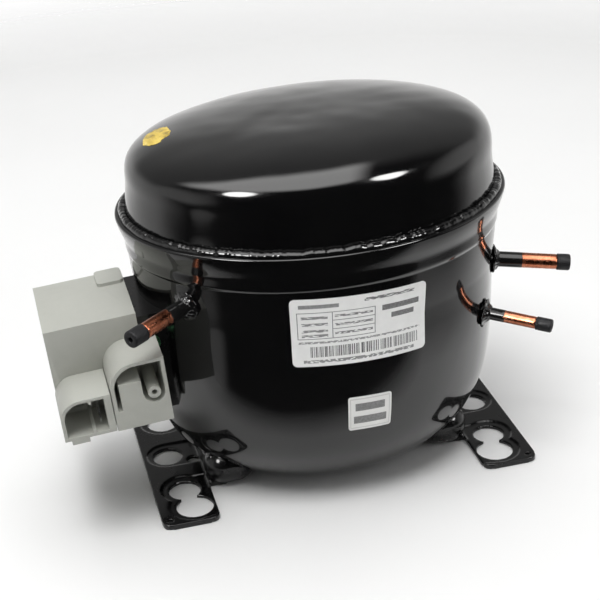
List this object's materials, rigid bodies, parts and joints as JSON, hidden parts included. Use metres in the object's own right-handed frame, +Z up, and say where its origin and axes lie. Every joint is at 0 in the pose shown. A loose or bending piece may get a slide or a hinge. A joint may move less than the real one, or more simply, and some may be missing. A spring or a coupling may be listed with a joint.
{
  "type": "hermetic reciprocating compressor",
  "caption": "Welded oval refrigeration compressor on stamped feet, with a clip-on electrical box, stub tubes and a sprung motor and piston pump inside.",
  "frame": {"origin": "centre of the mounting hole pattern, on the underside of the feet", "axes": "+Z up through the dome, +X along the longer side of the hole patterns, away from the electrical box; +Y away from the side with the labels"},
  "size_m": [0.2781, 0.1632, 0.1908],
  "materials": {
    "shell_paint": "gloss",
    "weld_paint": "gloss",
    "copper": "satin",
    "plug_rubber": "matte",
    "label_film": "satin",
    "yellow_paint": "matte",
    "plated_steel": "satin",
    "seal_glass": "gloss",
    "grey_moulding": "satin",
    "dark_phenolic": "satin",
    "ptc_ceramic": "matte",
    "socket_brass": "satin",
    "spring_steel": "satin",
    "cap_plastic": "satin",
    "lead_insulation": "satin",
    "lamination": "satin",
    "winding_wire": "gloss",
    "cast_alloy": "satin",
    "grey_iron": "matte",
    "ground_steel": "satin",
    "thrust_bronze": "satin",
    "gasket_fibre": "matte",
    "muffler_plastic": "satin",
    "screw_green": "satin"
  },
  "bodies": {
    "casing": {"lower_shell": "shell_paint", "upper_shell": "shell_paint", "weld_bead": "weld_paint", "left_foot": "shell_paint", "right_foot": "shell_paint", "suction_tube": "copper", "suction_collar": "weld_paint", "discharge_tube": "copper", "discharge_collar": "weld_paint", "process_tube": "copper", "process_collar": "weld_paint", "rating_label": "label_film", "type_label": "label_film", "paint_mark": "yellow_paint", "terminal_cup": "plated_steel", "terminal_glass": "seal_glass", "terminal_pins": "plated_steel", "terminal_fence": "weld_paint", "ground_screw": "screw_green", "spring_seats": "plated_steel", "suspension_springs": "spring_steel", "cluster_plug": "cap_plastic", "motor_leads": "lead_insulation", "shock_loop": "copper"},
    "pump_frame": {"crankcase": "grey_iron", "stator_core": "lamination", "main_winding": "winding_wire", "start_winding": "winding_wire", "stator_bolts": "plated_steel", "spring_caps": "cap_plastic", "thrust_washer": "thrust_bronze", "plate_gasket": "gasket_fibre", "suction_reed": "spring_steel", "valve_plate": "ground_steel", "discharge_reed": "spring_steel", "head_gasket": "gasket_fibre", "cylinder_head": "cast_alloy", "head_bolts": "plated_steel", "suction_muffler": "muffler_plastic", "discharge_muffler": "plated_steel"},
    "crank": {"crankshaft": "grey_iron", "rotor_core": "lamination", "rotor_cage": "cast_alloy", "oil_pickup": "plated_steel"},
    "piston_set": {"piston": "ground_steel", "wrist_pin": "ground_steel"},
    "rod_set": {"connecting_rod": "cast_alloy", "crank_pin": "ground_steel"},
    "electrical_box": {"electrical_cover": "grey_moulding", "relay_housing": "grey_moulding", "connector_housing": "grey_moulding", "relay_case": "dark_phenolic", "ptc_pill": "ptc_ceramic", "pin_sockets": "socket_brass", "overload_case": "dark_phenolic", "spade_terminals": "plated_steel"},
    "suction_cap": {"suction_plug": "plug_rubber"},
    "discharge_cap": {"discharge_plug": "plug_rubber"},
    "process_cap": {"process_plug": "plug_rubber"}
  },
  "joints": [
    {"name": "suspension", "type": "slide", "parent": "casing", "child": "pump_frame", "axis": [0, 0, 1], "range_m": [-0.002, 0.002], "stiffness_N_per_m": 16000, "springref_m": 0.0034, "deforming": ["suspension_springs", "shock_loop", "motor_leads"]},
    {"name": "crank_spin", "type": "hinge", "parent": "pump_frame", "child": "crank", "pos_m": [0, 0, 0.1], "axis": [0, 0, 1], "continuous": true},
    {"name": "piston_stroke", "type": "slide", "parent": "pump_frame", "child": "piston_set", "axis": [1, 0, 0], "range_m": [-0.016, 0]},
    {"name": "rod_swing", "type": "hinge", "parent": "piston_set", "child": "rod_set", "pos_m": [0.052, 0, 0.132], "axis": [0, 0, 1], "range_deg": [-10.48, 10.48]},
    {"name": "box_pull", "type": "slide", "parent": "casing", "child": "electrical_box", "axis": [-0.9977, 0, -0.068], "range_m": [0, 0.03]},
    {"name": "suction_plug_pull", "type": "slide", "parent": "casing", "child": "suction_cap", "axis": [0.9522, -0.2948, -0.0802], "range_m": [0, 0.012]},
    {"name": "discharge_plug_pull", "type": "slide", "parent": "casing", "child": "discharge_cap", "axis": [0.8013, -0.5929, -0.0802], "range_m": [0, 0.012]},
    {"name": "process_plug_pull", "type": "slide", "parent": "casing", "child": "process_cap", "axis": [-0.7694, -0.6388, 0], "range_m": [0, 0.012]}
  ]
}
